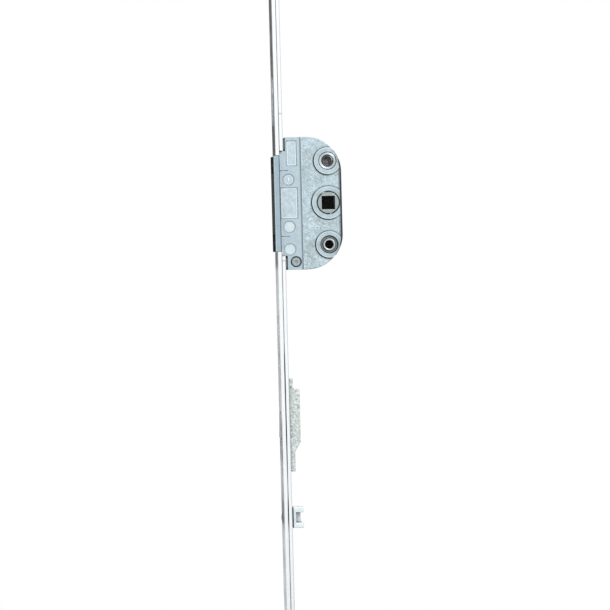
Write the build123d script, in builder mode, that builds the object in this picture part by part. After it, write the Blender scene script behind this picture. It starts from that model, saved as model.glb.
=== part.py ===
import os
from math import acos, cos, degrees, pi, radians, sin, tan

from build123d import *

os.makedirs("parts", exist_ok=True)

# Cremone bolt for the edge of a side-hung sash, in millimetres. The origin is on the spindle axis, midway
# through the gear case. X runs from the sash edge into the sash, Y across the sash, Z up along the bolt.
# A quarter turn of the follower lifts the rack slider and both drive rods by one stroke.

# Sizes that several pieces share
backset = 26.9  # front face of the drive rods to the spindle axis
top_end = 150.0  # upper end of rods and rails, from the spindle axis
bottom_end = 250.0  # lower end, from the spindle axis
bar_width = 16.0
bar_corner = 1.5
bar_chamfer = 0.25
rod_thickness = 2.0
rail_thickness = 1.8
sliding_gap = 0.25  # between the rods and what they slide over
seam_gap = 0.25  # between pieces that butt without touching
fit_gap = 0.05  # round a rivet, pin or bush in its hole
overrun = 6.0  # how far a cut runs past the face that it opens

# Rack and follower teeth
tooth_pitch = 4.5
teeth_in_full_turn = 16
pressure_angle = radians(25)
tooth_backlash = 0.15
gear_width = 6.0
dedendum_share = 1.25  # of the module
rack_margin = 0.3  # solid metal past the outer teeth

# Follower
spindle_square = 7.0
hub_radius = 5.55
hub_gap = 0.3
hub_chamfer = 0.2
face_setback = 0.1  # hub and bush faces below the raised pads

# Gear case
case_length = 68.0
ear_length = 7.15  # set-back ends of the case, behind the rails
shoulder_length = case_length - 2 * ear_length
case_rear = 7.2
case_corner = 18.0
case_round = 0.35
rim_width = 1.05
rim_gap = 0.1
rim_drop = 1.4  # rim edge below the gear field
rim_end = 7.0  # case without its raised rim at each end
rim_length = case_length - 2 * rim_end
ear_gap = 1.25  # air behind the rail at the two ears
case_wall = 1.5
chamber_gap = 0.3
chamber_end_gap = 0.5
room_front = 12.0
guide_plate = 2.2
gear_plate = 2.7
step_place = 13.6  # edge of the raised gear field, from the spindle axis
pad_rise = 0.5
pad_edge_gap = 0.15
follower_pad_radius = 8.4
upper_pad_radius = 6.95
lower_pad_radius = 6.85
lip_thickness = 2.65
post_boss_wall = 1.9

# Marks left bare in the cover's smooth field: places from the spindle axis
mark_depth = 0.22
upper_panel_place, upper_panel_height = 18.4, 25.7
upper_panel_size = (5.0, 12.5)
middle_panel_place, middle_panel_height = 20.1, 0.2
middle_panel_size = (8.4, 15.5)
disc_place = 20.2
disc_heights = (12.2, -12.0, -23.6)
disc_radius = 2.85
tally_length, tally_width, tally_height = 4.4, 0.4, 16.9

# Threaded bushes for the handle screws
post_spacing = 43.0
bush_bore = 2.5
bush_tube = 3.2
bush_flange = 4.5
bush_flange_thickness = 2.0
bush_mouth_depth = 1.2
bush_flange_gap = 0.15
bush_ring_depth = 0.9  # shallow well round the end without a flange
bush_chamfer = 0.25

# Case rivet
case_rivet_place = 17.3
case_rivet_end = 4.0  # its centre from the end of the case
case_rivet_height = case_length / 2 - case_rivet_end
case_rivet_shank = 1.4
case_rivet_head = 2.1
case_rivet_head_height = 0.9
case_rivet_well = 2.9
case_rivet_setback = 0.1
case_rivet_dimple = 0.9
case_rivet_dimple_depth = 0.35

# Rack slider
slider_length = 49.0
slider_proud = 1.1
web_width = 4.0
web_gap = 0.2
tongue_width = 10.0
tongue_length = 9.0
tongue_thickness = 1.0
rod_rivet_shank = 1.5
rod_rivet_head = 2.6
rod_rivet_head_height = 0.45

# Rail fixing: rivets into the ears, holes and slots for the fixing screws
ear_boss_width = 9.0
ear_boss_length = 4.5
rail_rivet_spacing = 5.2
rail_rivet_shank = 1.0
rail_rivet_head = 1.9
rail_rivet_head_height = 0.8
rail_rivet_reach = 1.8  # into the ear past its boss
screw_hole = 2.15
screw_sink = 3.7
screw_sink_depth = 1.2
screw_slot = 4.2
upper_screw_heights = (62.0, 143.5)
lower_screw_heights = (-62.0, -243.0)
notch_height, notch_depth = 0.7, 0.3
upper_notch_height = 46.0
lower_notch_below_case = 2.65
lower_notch_height = shoulder_length / 2 + lower_notch_below_case

# Mishandling lock: housing on the lower rail, lever, pin and leaf spring
housing_top = 89.9
housing_length = 47.7
housing_width = 11.0
housing_round = 0.5
housing_flange = 2.3
housing_depth = 5.6
housing_foot = 2.6
flange_length = 5.7
body_length = 26.8
slope_length = 5.1
housing_hollow_radius = 1.6
housing_wall = 1.2
pocket_length = body_length - 2 * housing_wall
pocket_width = 8.4
housing_rivet_shank = 1.25
housing_rivet_head = 2.2
housing_rivet_head_height = 0.9
lever_width = 4.0
lever_gap = 0.3
lever_pin = 1.0
lever_boss = 1.8
lever_pin_drop = 3.6  # pin below the pocket's top
lever_pin_depth = 2.35  # pin behind the rail
lever_nose_drop = 7.0  # top of the nose below the pin
lever_nose_end_gap = 0.8  # bottom of the nose above the pocket's floor
lever_nose_length = pocket_length - lever_pin_drop - lever_nose_drop - lever_nose_end_gap
lever_nose_proud = 0.75
lever_nose_round = 0.6
lever_back_depth = 2.6
lever_press = radians(3)
leaf_thickness = 0.3
leaf_width = 3.4
leaf_end_gap = 4.7
leaf_length = pocket_length - 2 * leaf_end_gap
leaf_bow = 0.7

# Guide block that rides on the lower rod behind the rail
block_length = 10.7
block_below_housing = 18.35  # free length of rail between the lock housing and the block
block_height = housing_top + housing_length + block_below_housing + block_length / 2
block_width = 11.0
block_gap = 0.65
block_depth = 5.4
block_base = 1.6
block_arm = 2.7
block_web = 2.2
block_web_depth = 2.6
block_round = 0.4
neck_width = 6.0
neck_length = 8.0
neck_gap = 0.3
block_rivet_shank = 1.6
block_rivet_head = 3.5
block_rivet_head_height = 0.9
block_rivet_depth = 1.0

# Roller cams near the far ends of the rods
upper_cam_inset, lower_cam_inset = 38.0, 32.0  # from the ends of the rods
upper_cam_height = top_end - upper_cam_inset
lower_cam_height = lower_cam_inset - bottom_end
cam_pin = 2.4
cam_foot = 3.4
cam_foot_height = 1.0
cam_collar_height = 0.3
cam_head = 3.9
cam_head_height = 1.3
cam_socket = 1.5
cam_socket_depth = 0.9
roller_radius = 5.0
roller_length = 8.0
roller_gap = 0.08
roller_chamfer = 0.6

# Planes and radii worked out from the sizes above
module = tooth_pitch / pi
pitch_radius = tooth_pitch * teeth_in_full_turn / (2 * pi)
quarter_teeth = teeth_in_full_turn // 4
stroke = tooth_pitch * quarter_teeth
dedendum = dedendum_share * module
base_radius = pitch_radius * cos(pressure_angle)
tip_radius = pitch_radius + module
root_radius = pitch_radius - dedendum
tooth_step = 360 / teeth_in_full_turn
flank_half = (tooth_pitch - tooth_backlash) / 4
rack_root_half = flank_half + dedendum * tan(pressure_angle)
rack_tip_half = flank_half - module * tan(pressure_angle)
rack_reach = stroke + tooth_pitch / 2 + rack_root_half + rack_margin

rod_front = -backset
rod_back = rod_front + rod_thickness
rail_front = rod_back + sliding_gap
rail_back = rail_front + rail_thickness
slider_front = rod_front - slider_proud
case_front = rail_front
ear_front = rail_back + ear_gap
lip_back = case_front + lip_thickness
cover_rear = case_rear - rim_width
pad_rear = cover_rear - pad_edge_gap

chamber_half = gear_width / 2 + chamber_gap
guide_half = chamber_half + guide_plate
gear_half = chamber_half + gear_plate
pad_half = gear_half + pad_rise
bush_half = pad_half - face_setback
channel_half = rack_reach + chamber_end_gap
slider_half = slider_length / 2
rod_start = slider_half + seam_gap
rail_start = shoulder_length / 2 + seam_gap
ear_middle = (shoulder_length + case_length) / 4
post_height = post_spacing / 2


def d_shape(front, rear, length, corner):
    """Upright plate with a straight front edge and two rounded rear corners."""
    with BuildSketch() as shape:
        with Locations(((front + rear) / 2, 0)):
            Rectangle(rear - front, length)
        fillet(shape.vertices().group_by(Axis.X)[-1], radius=corner)
    return shape.sketch


def case_outline(rear, corner):
    """Side outline of the gear case: shoulders at the front between two set-back ears."""
    with BuildSketch() as outline:
        add(d_shape(ear_front, rear, case_length, corner))
        with Locations(((case_front - room_front) / 2, 0)):
            Rectangle(-room_front - case_front, shoulder_length)
    return outline.sketch


def gear_field():
    """Part of the case outline behind the step line, where the raised field lies."""
    with BuildSketch() as field:
        add(d_shape(-step_place, cover_rear, case_length, case_corner - rim_width))
    return field.sketch


def ring_pads():
    """Raised discs round the follower and the two handle screws, cut off at the cover's rear edge."""
    with BuildSketch() as pads:
        Circle(follower_pad_radius)
        with Locations((0, post_height)):
            Circle(upper_pad_radius)
        with Locations((0, -post_height)):
            Circle(lower_pad_radius)
        inner_corner = case_corner - rim_width - pad_edge_gap
        add(d_shape(-step_place, pad_rear, case_length - 2 * pad_edge_gap, inner_corner), mode=Mode.INTERSECT)
    return pads.sketch


# The hollow and the holes that both case halves share
with BuildPart() as hollow:
    with BuildSketch(Plane.XZ):
        room_corner = case_corner - rim_width - case_wall
        add(d_shape(-room_front, cover_rear - case_wall, case_length - 2 * case_wall, room_corner))
        with Locations((0, post_height), (0, -post_height)):
            Circle(bush_tube + post_boss_wall, mode=Mode.SUBTRACT)
        with Locations(((lip_back - room_front) / 2, 0)):
            Rectangle(-room_front - lip_back, 2 * channel_half)
    extrude(amount=chamber_half, both=True)
    with BuildSketch(Plane.XZ):
        with Locations(((case_front + lip_back) / 2 - overrun / 2, 0)):
            Rectangle(lip_thickness + overrun, 2 * channel_half)
    extrude(amount=web_width / 2 + web_gap, both=True)

with BuildPart() as case_holes:
    with BuildSketch(Plane.XZ):
        Circle(hub_radius + hub_gap)
        with Locations((0, post_height), (0, -post_height)):
            Circle(bush_tube + fit_gap)
        with Locations((-case_rivet_place, -case_rivet_height)):
            Circle(case_rivet_shank + fit_gap)
    extrude(amount=pad_half + overrun, both=True)
    # Wells for the bush flanges and for the rivet heads, on both sides
    rivet_seat = guide_half - case_rivet_setback - case_rivet_head_height
    for side in (1, -1):
        for height, depth in ((post_height, bush_flange_thickness), (-post_height, bush_ring_depth)):
            with BuildSketch(Plane.XZ.offset(side * (bush_half - depth))):
                with Locations((0, side * height)):
                    Circle(bush_flange + bush_flange_gap)
            extrude(amount=side * overrun)
        with BuildSketch(Plane.XZ.offset(side * rivet_seat)):
            with Locations((-case_rivet_place, -case_rivet_height)):
                Circle(case_rivet_well)
        extrude(amount=side * overrun)
    # Holes for the rail rivets, which enter from the front
    with BuildSketch(Plane.YZ.offset(ear_front + rail_rivet_reach)):
        with GridLocations(rail_rivet_spacing, 2 * ear_middle, 2, 2):
            Circle(rail_rivet_shank + fit_gap)
    extrude(amount=-rail_rivet_reach - overrun)


def ear_bosses(side):
    """Bosses in front of the ears that the rails are riveted to, in one half of the case."""
    with BuildPart() as bosses:
        with BuildSketch(Plane.YZ.offset(rail_back)):
            with Locations((-side * ear_boss_width / 4, ear_middle), (-side * ear_boss_width / 4, -ear_middle)):
                Rectangle(ear_boss_width / 2, ear_boss_length)
        extrude(amount=ear_gap)
    return bosses.part


# Far half of the case, with the low rim that closes the rear edge round the cover
with BuildPart() as case_body:
    with BuildSketch(Plane.XZ):
        add(case_outline(case_rear, case_corner))
    extrude(amount=-guide_half)
    with BuildSketch(Plane.XZ.offset(-guide_half)):
        add(gear_field())
    extrude(amount=guide_half - gear_half)
    fillet(case_body.faces().sort_by(Axis.Y)[-1].edges(), radius=case_round)
    with BuildSketch(Plane.XZ.offset(-gear_half)):
        add(ring_pads())
    extrude(amount=-pad_rise)
    with BuildSketch(Plane.XZ):
        add(d_shape(-room_front, case_rear, case_length, case_corner))
        inner_front = -room_front - overrun
        inner_corner = case_corner - rim_width
        add(d_shape(inner_front, cover_rear + rim_gap, case_length, inner_corner), mode=Mode.SUBTRACT)
        with Locations((case_rear, 0)):
            Rectangle(2 * case_rear, rim_length, mode=Mode.INTERSECT)
    extrude(amount=gear_half - rim_drop)
    add(ear_bosses(-1))
    add(hollow.part, mode=Mode.SUBTRACT)
    add(case_holes.part, mode=Mode.SUBTRACT)
case_body.part.label = "case_body"
export_step(case_body.part, "parts/case_body.step")

# Near half of the case: smooth field at the front, raised gear field with its ring pads behind the step
with BuildPart() as case_cover:
    with BuildSketch(Plane.XZ):
        add(case_outline(cover_rear, case_corner - rim_width))
    extrude(amount=guide_half)
    with BuildSketch(Plane.XZ.offset(guide_half)):
        add(gear_field())
    extrude(amount=gear_half - guide_half)
    fillet(case_cover.faces().sort_by(Axis.Y)[0].edges(), radius=case_round)
    with BuildSketch(Plane.XZ.offset(gear_half)):
        add(ring_pads())
    extrude(amount=pad_rise)
    add(ear_bosses(1))
    add(hollow.part, mode=Mode.SUBTRACT)
    add(case_holes.part, mode=Mode.SUBTRACT)
    with BuildSketch(Plane.XZ.offset(guide_half)):
        with Locations((-upper_panel_place, upper_panel_height)):
            Rectangle(*upper_panel_size)
        with Locations((-middle_panel_place, middle_panel_height)):
            Rectangle(*middle_panel_size)
        with Locations([(-disc_place, height) for height in disc_heights]):
            Circle(disc_radius)
        with Locations([(case_front + tally_length / 2, side * tally_height) for side in (1, -1)]):
            Rectangle(tally_length, tally_width)
    extrude(amount=-mark_depth, mode=Mode.SUBTRACT)
case_cover.part.label = "case_cover"
export_step(case_cover.part, "parts/case_cover.step")


def screw_bush(height, facing):
    """Threaded bush through both case halves: facing is 1 where its flange looks at the near side."""
    with BuildPart() as bush:
        with BuildSketch(Plane.XZ.offset(-facing * bush_half)):
            with Locations((0, height)):
                Circle(bush_tube)
        extrude(amount=facing * 2 * bush_half)
        with BuildSketch(Plane.XZ.offset(facing * bush_half)):
            with Locations((0, height)):
                Circle(bush_flange)
        extrude(amount=-facing * bush_flange_thickness)
        chamfer(bush.edges().filter_by(GeomType.CIRCLE).group_by(Axis.Y)[0], length=bush_chamfer)
        chamfer(bush.edges().filter_by(GeomType.CIRCLE).group_by(Axis.Y)[-1], length=bush_chamfer)
        with BuildSketch(Plane.XZ.offset(-facing * bush_half)):
            with Locations((0, height)):
                Circle(bush_bore)
        extrude(amount=facing * 2 * bush_half, mode=Mode.SUBTRACT)
        with BuildSketch(Plane.XZ.offset(facing * bush_half)):
            with Locations((0, height)):
                Circle(bush_tube)
        extrude(amount=-facing * bush_mouth_depth, mode=Mode.SUBTRACT)
    return bush


upper_screw_bush = screw_bush(post_height, 1)
upper_screw_bush.part.label = "upper_screw_bush"
export_step(upper_screw_bush.part, "parts/upper_screw_bush.step")

lower_screw_bush = screw_bush(-post_height, -1)
lower_screw_bush.part.label = "lower_screw_bush"
export_step(lower_screw_bush.part, "parts/lower_screw_bush.step")

# Rivet that closes the case near its lower ear, with a dimple in each head
with BuildPart() as case_rivet:
    with BuildSketch(Plane.XZ):
        with Locations((-case_rivet_place, -case_rivet_height)):
            Circle(case_rivet_shank)
    extrude(amount=rivet_seat, both=True)
    for side in (1, -1):
        with BuildSketch(Plane.XZ.offset(side * rivet_seat)):
            with Locations((-case_rivet_place, -case_rivet_height)):
                Circle(case_rivet_head)
        extrude(amount=side * case_rivet_head_height)
        head_plane = Plane.XZ.offset(side * (rivet_seat + case_rivet_head_height))
        with BuildSketch(head_plane):
            with Locations((-case_rivet_place, -case_rivet_height)):
                Circle(case_rivet_dimple)
        with BuildSketch(head_plane.offset(-side * case_rivet_dimple_depth)):
            with Locations((-case_rivet_place, -case_rivet_height)):
                Circle(case_rivet_dimple - case_rivet_dimple_depth)
        loft(mode=Mode.SUBTRACT)
case_rivet.part.label = "case_rivet"
export_step(case_rivet.part, "parts/case_rivet.step")


def involute(angle):
    return tan(angle) - angle


def flank_point(radius, side):
    """Point of a tooth flank at this radius, for a tooth along +X."""
    half_tooth = 2 * flank_half / (2 * pitch_radius) + involute(pressure_angle)
    half_tooth -= involute(acos(base_radius / radius))
    return radius * cos(half_tooth), side * radius * sin(half_tooth)


def follower_tooth():
    """One tooth along +X: involute flanks as arcs through base, pitch and tip radius."""
    foot_radius = root_radius - module / 2
    foot_half = flank_point(base_radius, 1)[1] * foot_radius / base_radius
    with BuildSketch() as tooth:
        with BuildLine():
            for side in (-1, 1):
                ThreePointArc(*[flank_point(r, side) for r in (base_radius, pitch_radius, tip_radius)])
                Line(flank_point(base_radius, side), (foot_radius, side * foot_half))
            ThreePointArc(flank_point(tip_radius, -1), (tip_radius, 0), flank_point(tip_radius, 1))
            Line((foot_radius, -foot_half), (foot_radius, foot_half))
        make_face()
    return tooth.sketch


# Follower: round hub with the spindle square, and teeth on the quarter that meets the rack
with BuildPart() as follower:
    with BuildSketch(Plane.XZ):
        Circle(hub_radius)
    extrude(amount=bush_half, both=True)
    chamfer(follower.edges().filter_by(GeomType.CIRCLE), length=hub_chamfer)
    with BuildSketch(Plane.XZ):
        with BuildLine():
            first = 180 - tooth_step / 2
            sweep_angle = (quarter_teeth + 1) * tooth_step
            CenterArc((0, 0), root_radius, first, sweep_angle)
            for angle in (radians(first), radians(first + sweep_angle)):
                Line((0, 0), (root_radius * cos(angle), root_radius * sin(angle)))
        make_face()
        for tooth in range(quarter_teeth + 1):
            with Locations(Location((0, 0, 0), (0, 0, 180 + tooth * tooth_step))):
                add(follower_tooth())
    extrude(amount=gear_width / 2, both=True)
    with BuildSketch(Plane.XZ):
        Rectangle(spindle_square, spindle_square)
    extrude(amount=bush_half + overrun, both=True, mode=Mode.SUBTRACT)
follower.part.label = "follower"
export_step(follower.part, "parts/follower.step")

# Rack slider: front bar in line with the rods, web through the case lips, and the toothed head
rack_top = rack_reach - stroke
rack_back = -pitch_radius - dedendum
rack_tip = -pitch_radius + module
head_front = lip_back + chamber_gap
tongue_back = rod_front + tongue_thickness
with BuildPart() as rack_slider:
    with BuildSketch(Plane.XY.offset(-slider_half)):
        with Locations(((slider_front + rod_back) / 2, 0)):
            Rectangle(rod_back - slider_front, bar_width)
    extrude(amount=slider_length)
    chamfer(rack_slider.edges().filter_by(Axis.Z).group_by(Axis.X)[0], length=bar_chamfer)
    with BuildSketch(Plane.XZ):
        with Locations(((rod_back + head_front) / 2, (rack_top - rack_reach) / 2)):
            Rectangle(head_front - rod_back, rack_top + rack_reach)
    extrude(amount=web_width / 2, both=True)
    with BuildSketch(Plane.XZ):
        with BuildLine():
            corners = [(head_front, -rack_reach), (head_front, rack_top), (rack_back, rack_top)]
            for tooth in range(quarter_teeth + 2):
                middle = tooth_pitch / 2 - tooth * tooth_pitch
                corners.append((rack_back, middle + rack_root_half))
                corners.append((rack_tip, middle + rack_tip_half))
                corners.append((rack_tip, middle - rack_tip_half))
                corners.append((rack_back, middle - rack_root_half))
            corners.append((rack_back, -rack_reach))
            Polyline(*corners, close=True)
        make_face()
    extrude(amount=gear_width / 2, both=True)
    # Recess and rivet hole for each rod's tongue
    for side in (1, -1):
        with BuildSketch(Plane.YZ.offset(tongue_back)):
            with Locations((0, side * (slider_half - tongue_length / 2 + overrun / 2))):
                Rectangle(tongue_width + 2 * seam_gap, tongue_length + overrun)
        extrude(amount=-overrun, mode=Mode.SUBTRACT)
        with BuildSketch(Plane.YZ.offset(tongue_back)):
            with Locations((0, side * (slider_half - tongue_length / 2))):
                Circle(rod_rivet_shank + fit_gap)
        extrude(amount=rod_back - tongue_back, mode=Mode.SUBTRACT)
rack_slider.part.label = "rack_slider"
export_step(rack_slider.part, "parts/rack_slider.step")

# Rivets that hold the rods' tongues to the slider
with BuildPart() as rod_rivets:
    for side in (1, -1):
        with BuildSketch(Plane.YZ.offset(rod_back)):
            with Locations((0, side * (slider_half - tongue_length / 2))):
                Circle(rod_rivet_shank)
        extrude(amount=-rod_thickness)
        with BuildSketch(Plane.YZ.offset(rod_front)):
            with Locations((0, side * (slider_half - tongue_length / 2))):
                Circle(rod_rivet_head)
        extrude(amount=-rod_rivet_head_height)
rod_rivets.part.label = "rod_rivets"
export_step(rod_rivets.part, "parts/rod_rivets.step")

# Heights along the lower bars
pocket_top = -housing_top - flange_length - housing_wall
pocket_bottom = pocket_top - pocket_length
pin_height = pocket_top - lever_pin_drop
pin_x = rail_back + lever_pin_depth
nose_top = pin_height - lever_nose_drop
nose_bottom = nose_top - lever_nose_length
lever_lift = sin(lever_press) * (backset + lever_nose_proud + pin_x)
flange_rivet_height = -housing_top - flange_length / 2
foot_length = housing_length - flange_length - body_length - slope_length
foot_rivet_height = -housing_top - housing_length + foot_length / 2


def drive_rod(side, start, end, screw_heights, cam_height):
    """Outer bar: tongue at the slider end, slots that clear the screws over the stroke, cam hole."""
    with BuildPart() as rod:
        with BuildSketch(Plane.YZ.offset(rod_front)) as face:
            with Locations((0, side * (start + end) / 2)):
                Rectangle(bar_width, end - start)
            fillet(face.vertices().sort_by(Axis.Y)[::side][-2:], radius=bar_corner)
        extrude(amount=rod_thickness)
        chamfer(rod.edges().filter_by(Axis.Z).group_by(Axis.X)[0], length=bar_chamfer)
        with BuildSketch(Plane.YZ.offset(rod_front)):
            with Locations((0, side * (start - (tongue_length + seam_gap) / 2 + bar_chamfer / 2))):
                Rectangle(tongue_width, tongue_length + seam_gap - bar_chamfer)
        extrude(amount=tongue_thickness)
        with BuildSketch(Plane.YZ.offset(rod_front)):
            for height in screw_heights:
                is_last = abs(height) == max(abs(h) for h in screw_heights)
                low = height - stroke
                high = end + overrun if is_last and side > 0 else height
                with Locations((0, (low + high) / 2)):
                    SlotCenterToCenter(high - low, 2 * screw_slot, rotation=90)
            with Locations((0, side * (slider_half - tongue_length / 2))):
                Circle(rod_rivet_shank + fit_gap)
            with Locations((0, cam_height)):
                Circle(cam_pin + fit_gap)
        extrude(amount=rod_thickness, mode=Mode.SUBTRACT)
        # Sink for the cam stud's riveted foot
        with BuildSketch(Plane.YZ.offset(rod_back)):
            with Locations((0, cam_height)):
                Circle(cam_foot + fit_gap)
        with BuildSketch(Plane.YZ.offset(rod_back - cam_foot_height)):
            with Locations((0, cam_height)):
                Circle(cam_pin + fit_gap)
        loft(mode=Mode.SUBTRACT)
    return rod


upper_drive_rod = drive_rod(1, rod_start, top_end, upper_screw_heights, upper_cam_height)
upper_drive_rod.part.label = "upper_drive_rod"
export_step(upper_drive_rod.part, "parts/upper_drive_rod.step")

with BuildPart() as lower_drive_rod:
    add(drive_rod(-1, rod_start, bottom_end, lower_screw_heights, lower_cam_height).part)
    # Slot that passes the lever's nose over the stroke, and the guide block's rivet hole
    slot_top = nose_top + lever_lift + lever_gap
    slot_bottom = nose_bottom - stroke - lever_gap
    with BuildSketch(Plane.YZ.offset(rod_front)):
        with Locations((0, (slot_top + slot_bottom) / 2)):
            Rectangle(lever_width + 2 * lever_gap, slot_top - slot_bottom)
        with Locations((0, -block_height)):
            Circle(block_rivet_shank + fit_gap)
    extrude(amount=rod_thickness, mode=Mode.SUBTRACT)
lower_drive_rod.part.label = "lower_drive_rod"
export_step(lower_drive_rod.part, "parts/lower_drive_rod.step")


def carrier_rail(side, end, screw_heights, notch):
    """Inner bar, fixed to the sash: countersunk screw holes, rivet holes at the ear, a notch in the edge."""
    with BuildPart() as rail:
        with BuildSketch(Plane.YZ.offset(rail_front)) as face:
            with Locations((0, side * (rail_start + end) / 2)):
                Rectangle(bar_width, end - rail_start)
            fillet(face.vertices().sort_by(Axis.Y)[::side][-2:], radius=bar_corner)
            with Locations((-bar_width / 2, side * notch)):
                Rectangle(2 * notch_depth, notch_height, mode=Mode.SUBTRACT)
            with Locations([(0, height) for height in screw_heights]):
                Circle(screw_hole, mode=Mode.SUBTRACT)
            with Locations((0, side * ear_middle)):
                with GridLocations(rail_rivet_spacing, 0, 2, 1):
                    Circle(rail_rivet_shank + fit_gap, mode=Mode.SUBTRACT)
        extrude(amount=rail_thickness)
        for height in screw_heights:
            with BuildSketch(Plane.YZ.offset(rail_front)):
                with Locations((0, height)):
                    Circle(screw_sink)
            with BuildSketch(Plane.YZ.offset(rail_front + screw_sink_depth)):
                with Locations((0, height)):
                    Circle(screw_hole)
            loft(mode=Mode.SUBTRACT)
        for across in (-rail_rivet_spacing / 2, rail_rivet_spacing / 2):
            with BuildSketch(Plane.YZ.offset(rail_front)):
                with Locations((across, side * ear_middle)):
                    Circle(rail_rivet_head + fit_gap)
            with BuildSketch(Plane.YZ.offset(rail_front + rail_rivet_head_height)):
                with Locations((across, side * ear_middle)):
                    Circle(rail_rivet_shank + fit_gap)
            loft(mode=Mode.SUBTRACT)
    return rail


upper_rail = carrier_rail(1, top_end, upper_screw_heights, upper_notch_height)
upper_rail.part.label = "upper_rail"
export_step(upper_rail.part, "parts/upper_rail.step")

neck_top = -block_height + neck_length / 2
with BuildPart() as lower_rail:
    add(carrier_rail(-1, bottom_end, lower_screw_heights, lower_notch_height).part)
    # Window for the lever's nose, and the slot in which the guide block's neck travels
    window_top = nose_top + lever_lift + lever_gap
    window_bottom = nose_bottom - lever_gap
    track_top = neck_top + stroke + neck_gap
    track_bottom = neck_top - neck_length - neck_gap
    with BuildSketch(Plane.YZ.offset(rail_front)):
        with Locations((0, (window_top + window_bottom) / 2)):
            Rectangle(lever_width + 2 * lever_gap, window_top - window_bottom)
        with Locations((0, (track_top + track_bottom) / 2)):
            Rectangle(neck_width + 2 * neck_gap, track_top - track_bottom)
        with Locations((0, flange_rivet_height), (0, foot_rivet_height)):
            Circle(housing_rivet_shank + fit_gap)
    extrude(amount=rail_thickness, mode=Mode.SUBTRACT)
    for height in (flange_rivet_height, foot_rivet_height):
        with BuildSketch(Plane.YZ.offset(rail_front)):
            with Locations((0, height)):
                Circle(housing_rivet_head + fit_gap)
        with BuildSketch(Plane.YZ.offset(rail_front + housing_rivet_head_height)):
            with Locations((0, height)):
                Circle(housing_rivet_shank + fit_gap)
        loft(mode=Mode.SUBTRACT)
lower_rail.part.label = "lower_rail"
export_step(lower_rail.part, "parts/lower_rail.step")


def sunk_rivets(places, front, head, head_height, shank, back):
    """Rivets along X with a flush countersunk head at the front plane and a plain end at the back plane."""
    with BuildPart() as rivets:
        for place in places:
            with BuildSketch(Plane.YZ.offset(front + head_height)):
                with Locations(place):
                    Circle(shank)
            extrude(amount=back - front - head_height)
            with BuildSketch(Plane.YZ.offset(front)):
                with Locations(place):
                    Circle(head)
            with BuildSketch(Plane.YZ.offset(front + head_height)):
                with Locations(place):
                    Circle(shank)
            loft()
    return rivets


# Rivets that hold both rails to the ears of the case
ear_places = [(y, z) for y in (-rail_rivet_spacing / 2, rail_rivet_spacing / 2) for z in (ear_middle, -ear_middle)]
rail_rivets = sunk_rivets(ear_places, rail_front, rail_rivet_head, rail_rivet_head_height,
                          rail_rivet_shank, ear_front + rail_rivet_reach)
rail_rivets.part.label = "rail_rivets"
export_step(rail_rivets.part, "parts/rail_rivets.step")

# Housing of the mishandling lock: thin flange, deep body, slope and thin foot, with the lever's pocket
with BuildPart() as lock_housing:
    flange_end = -housing_top - flange_length
    body_end = flange_end - body_length
    slope_end = body_end - slope_length
    housing_end = -housing_top - housing_length
    with BuildSketch(Plane.XZ) as side_face:
        with BuildLine():
            Polyline((rail_back, -housing_top), (rail_back + housing_flange, -housing_top),
                     (rail_back + housing_flange, flange_end), (rail_back + housing_depth, flange_end),
                     (rail_back + housing_depth, body_end), (rail_back + housing_foot, slope_end),
                     (rail_back + housing_foot, housing_end), (rail_back, housing_end), close=True)
        make_face()
        hollow_corner = side_face.vertices().sort_by_distance((rail_back + housing_flange, flange_end))[0]
        fillet(hollow_corner, radius=housing_hollow_radius)
    extrude(amount=housing_width / 2, both=True)
    fillet(lock_housing.faces().filter_by(Axis.Y).edges().filter_by(lambda e: e.center().X > rail_back),
           radius=housing_round)
    with BuildSketch(Plane.YZ.offset(rail_back)):
        with Locations((0, (pocket_top + pocket_bottom) / 2)):
            Rectangle(pocket_width, pocket_length)
    extrude(amount=housing_depth - housing_wall, mode=Mode.SUBTRACT)
    with BuildSketch(Plane.XZ):
        with Locations((pin_x, pin_height)):
            Circle(lever_pin + fit_gap)
    extrude(amount=housing_width, both=True, mode=Mode.SUBTRACT)
    with BuildSketch(Plane.YZ.offset(rail_back)):
        with Locations((0, flange_rivet_height), (0, foot_rivet_height)):
            Circle(housing_rivet_shank + fit_gap)
    extrude(amount=overrun, mode=Mode.SUBTRACT)
lock_housing.part.label = "lock_housing"
export_step(lock_housing.part, "parts/lock_housing.step")

# Rivets of the lock housing, of two lengths
flange_rivet = sunk_rivets([(0, flange_rivet_height)], rail_front, housing_rivet_head,
                           housing_rivet_head_height, housing_rivet_shank, rail_back + housing_flange)
foot_rivet = sunk_rivets([(0, foot_rivet_height)], rail_front, housing_rivet_head,
                         housing_rivet_head_height, housing_rivet_shank, rail_back + housing_foot)
with BuildPart() as lock_housing_rivets:
    add(flange_rivet.part)
    add(foot_rivet.part)
lock_housing_rivets.part.label = "lock_housing_rivets"
export_step(lock_housing_rivets.part, "parts/lock_housing_rivets.step")

# Lever: hangs on its pin inside the housing, with a nose that stands a little proud of the rods
with BuildPart() as lock_lever:
    nose_front = rod_front - lever_nose_proud
    lever_back = rail_back + lever_back_depth
    with BuildSketch(Plane.XZ) as lever_face:
        with BuildLine():
            Polyline((lever_back, pin_height), (lever_back, nose_bottom), (nose_front, nose_bottom),
                     (rod_front - lever_nose_proud / 2, nose_top), (pin_x - lever_boss, nose_top),
                     (pin_x - lever_boss, pin_height), close=True)
        make_face()
        fillet(lever_face.vertices().group_by(Axis.X)[0] + lever_face.vertices().group_by(Axis.X)[1],
               radius=lever_nose_round)
        with Locations((pin_x, pin_height)):
            Circle(lever_boss)
            Circle(lever_pin + fit_gap, mode=Mode.SUBTRACT)
    extrude(amount=lever_width / 2, both=True)
lock_lever.part.label = "lock_lever"
export_step(lock_lever.part, "parts/lock_lever.step")

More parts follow.
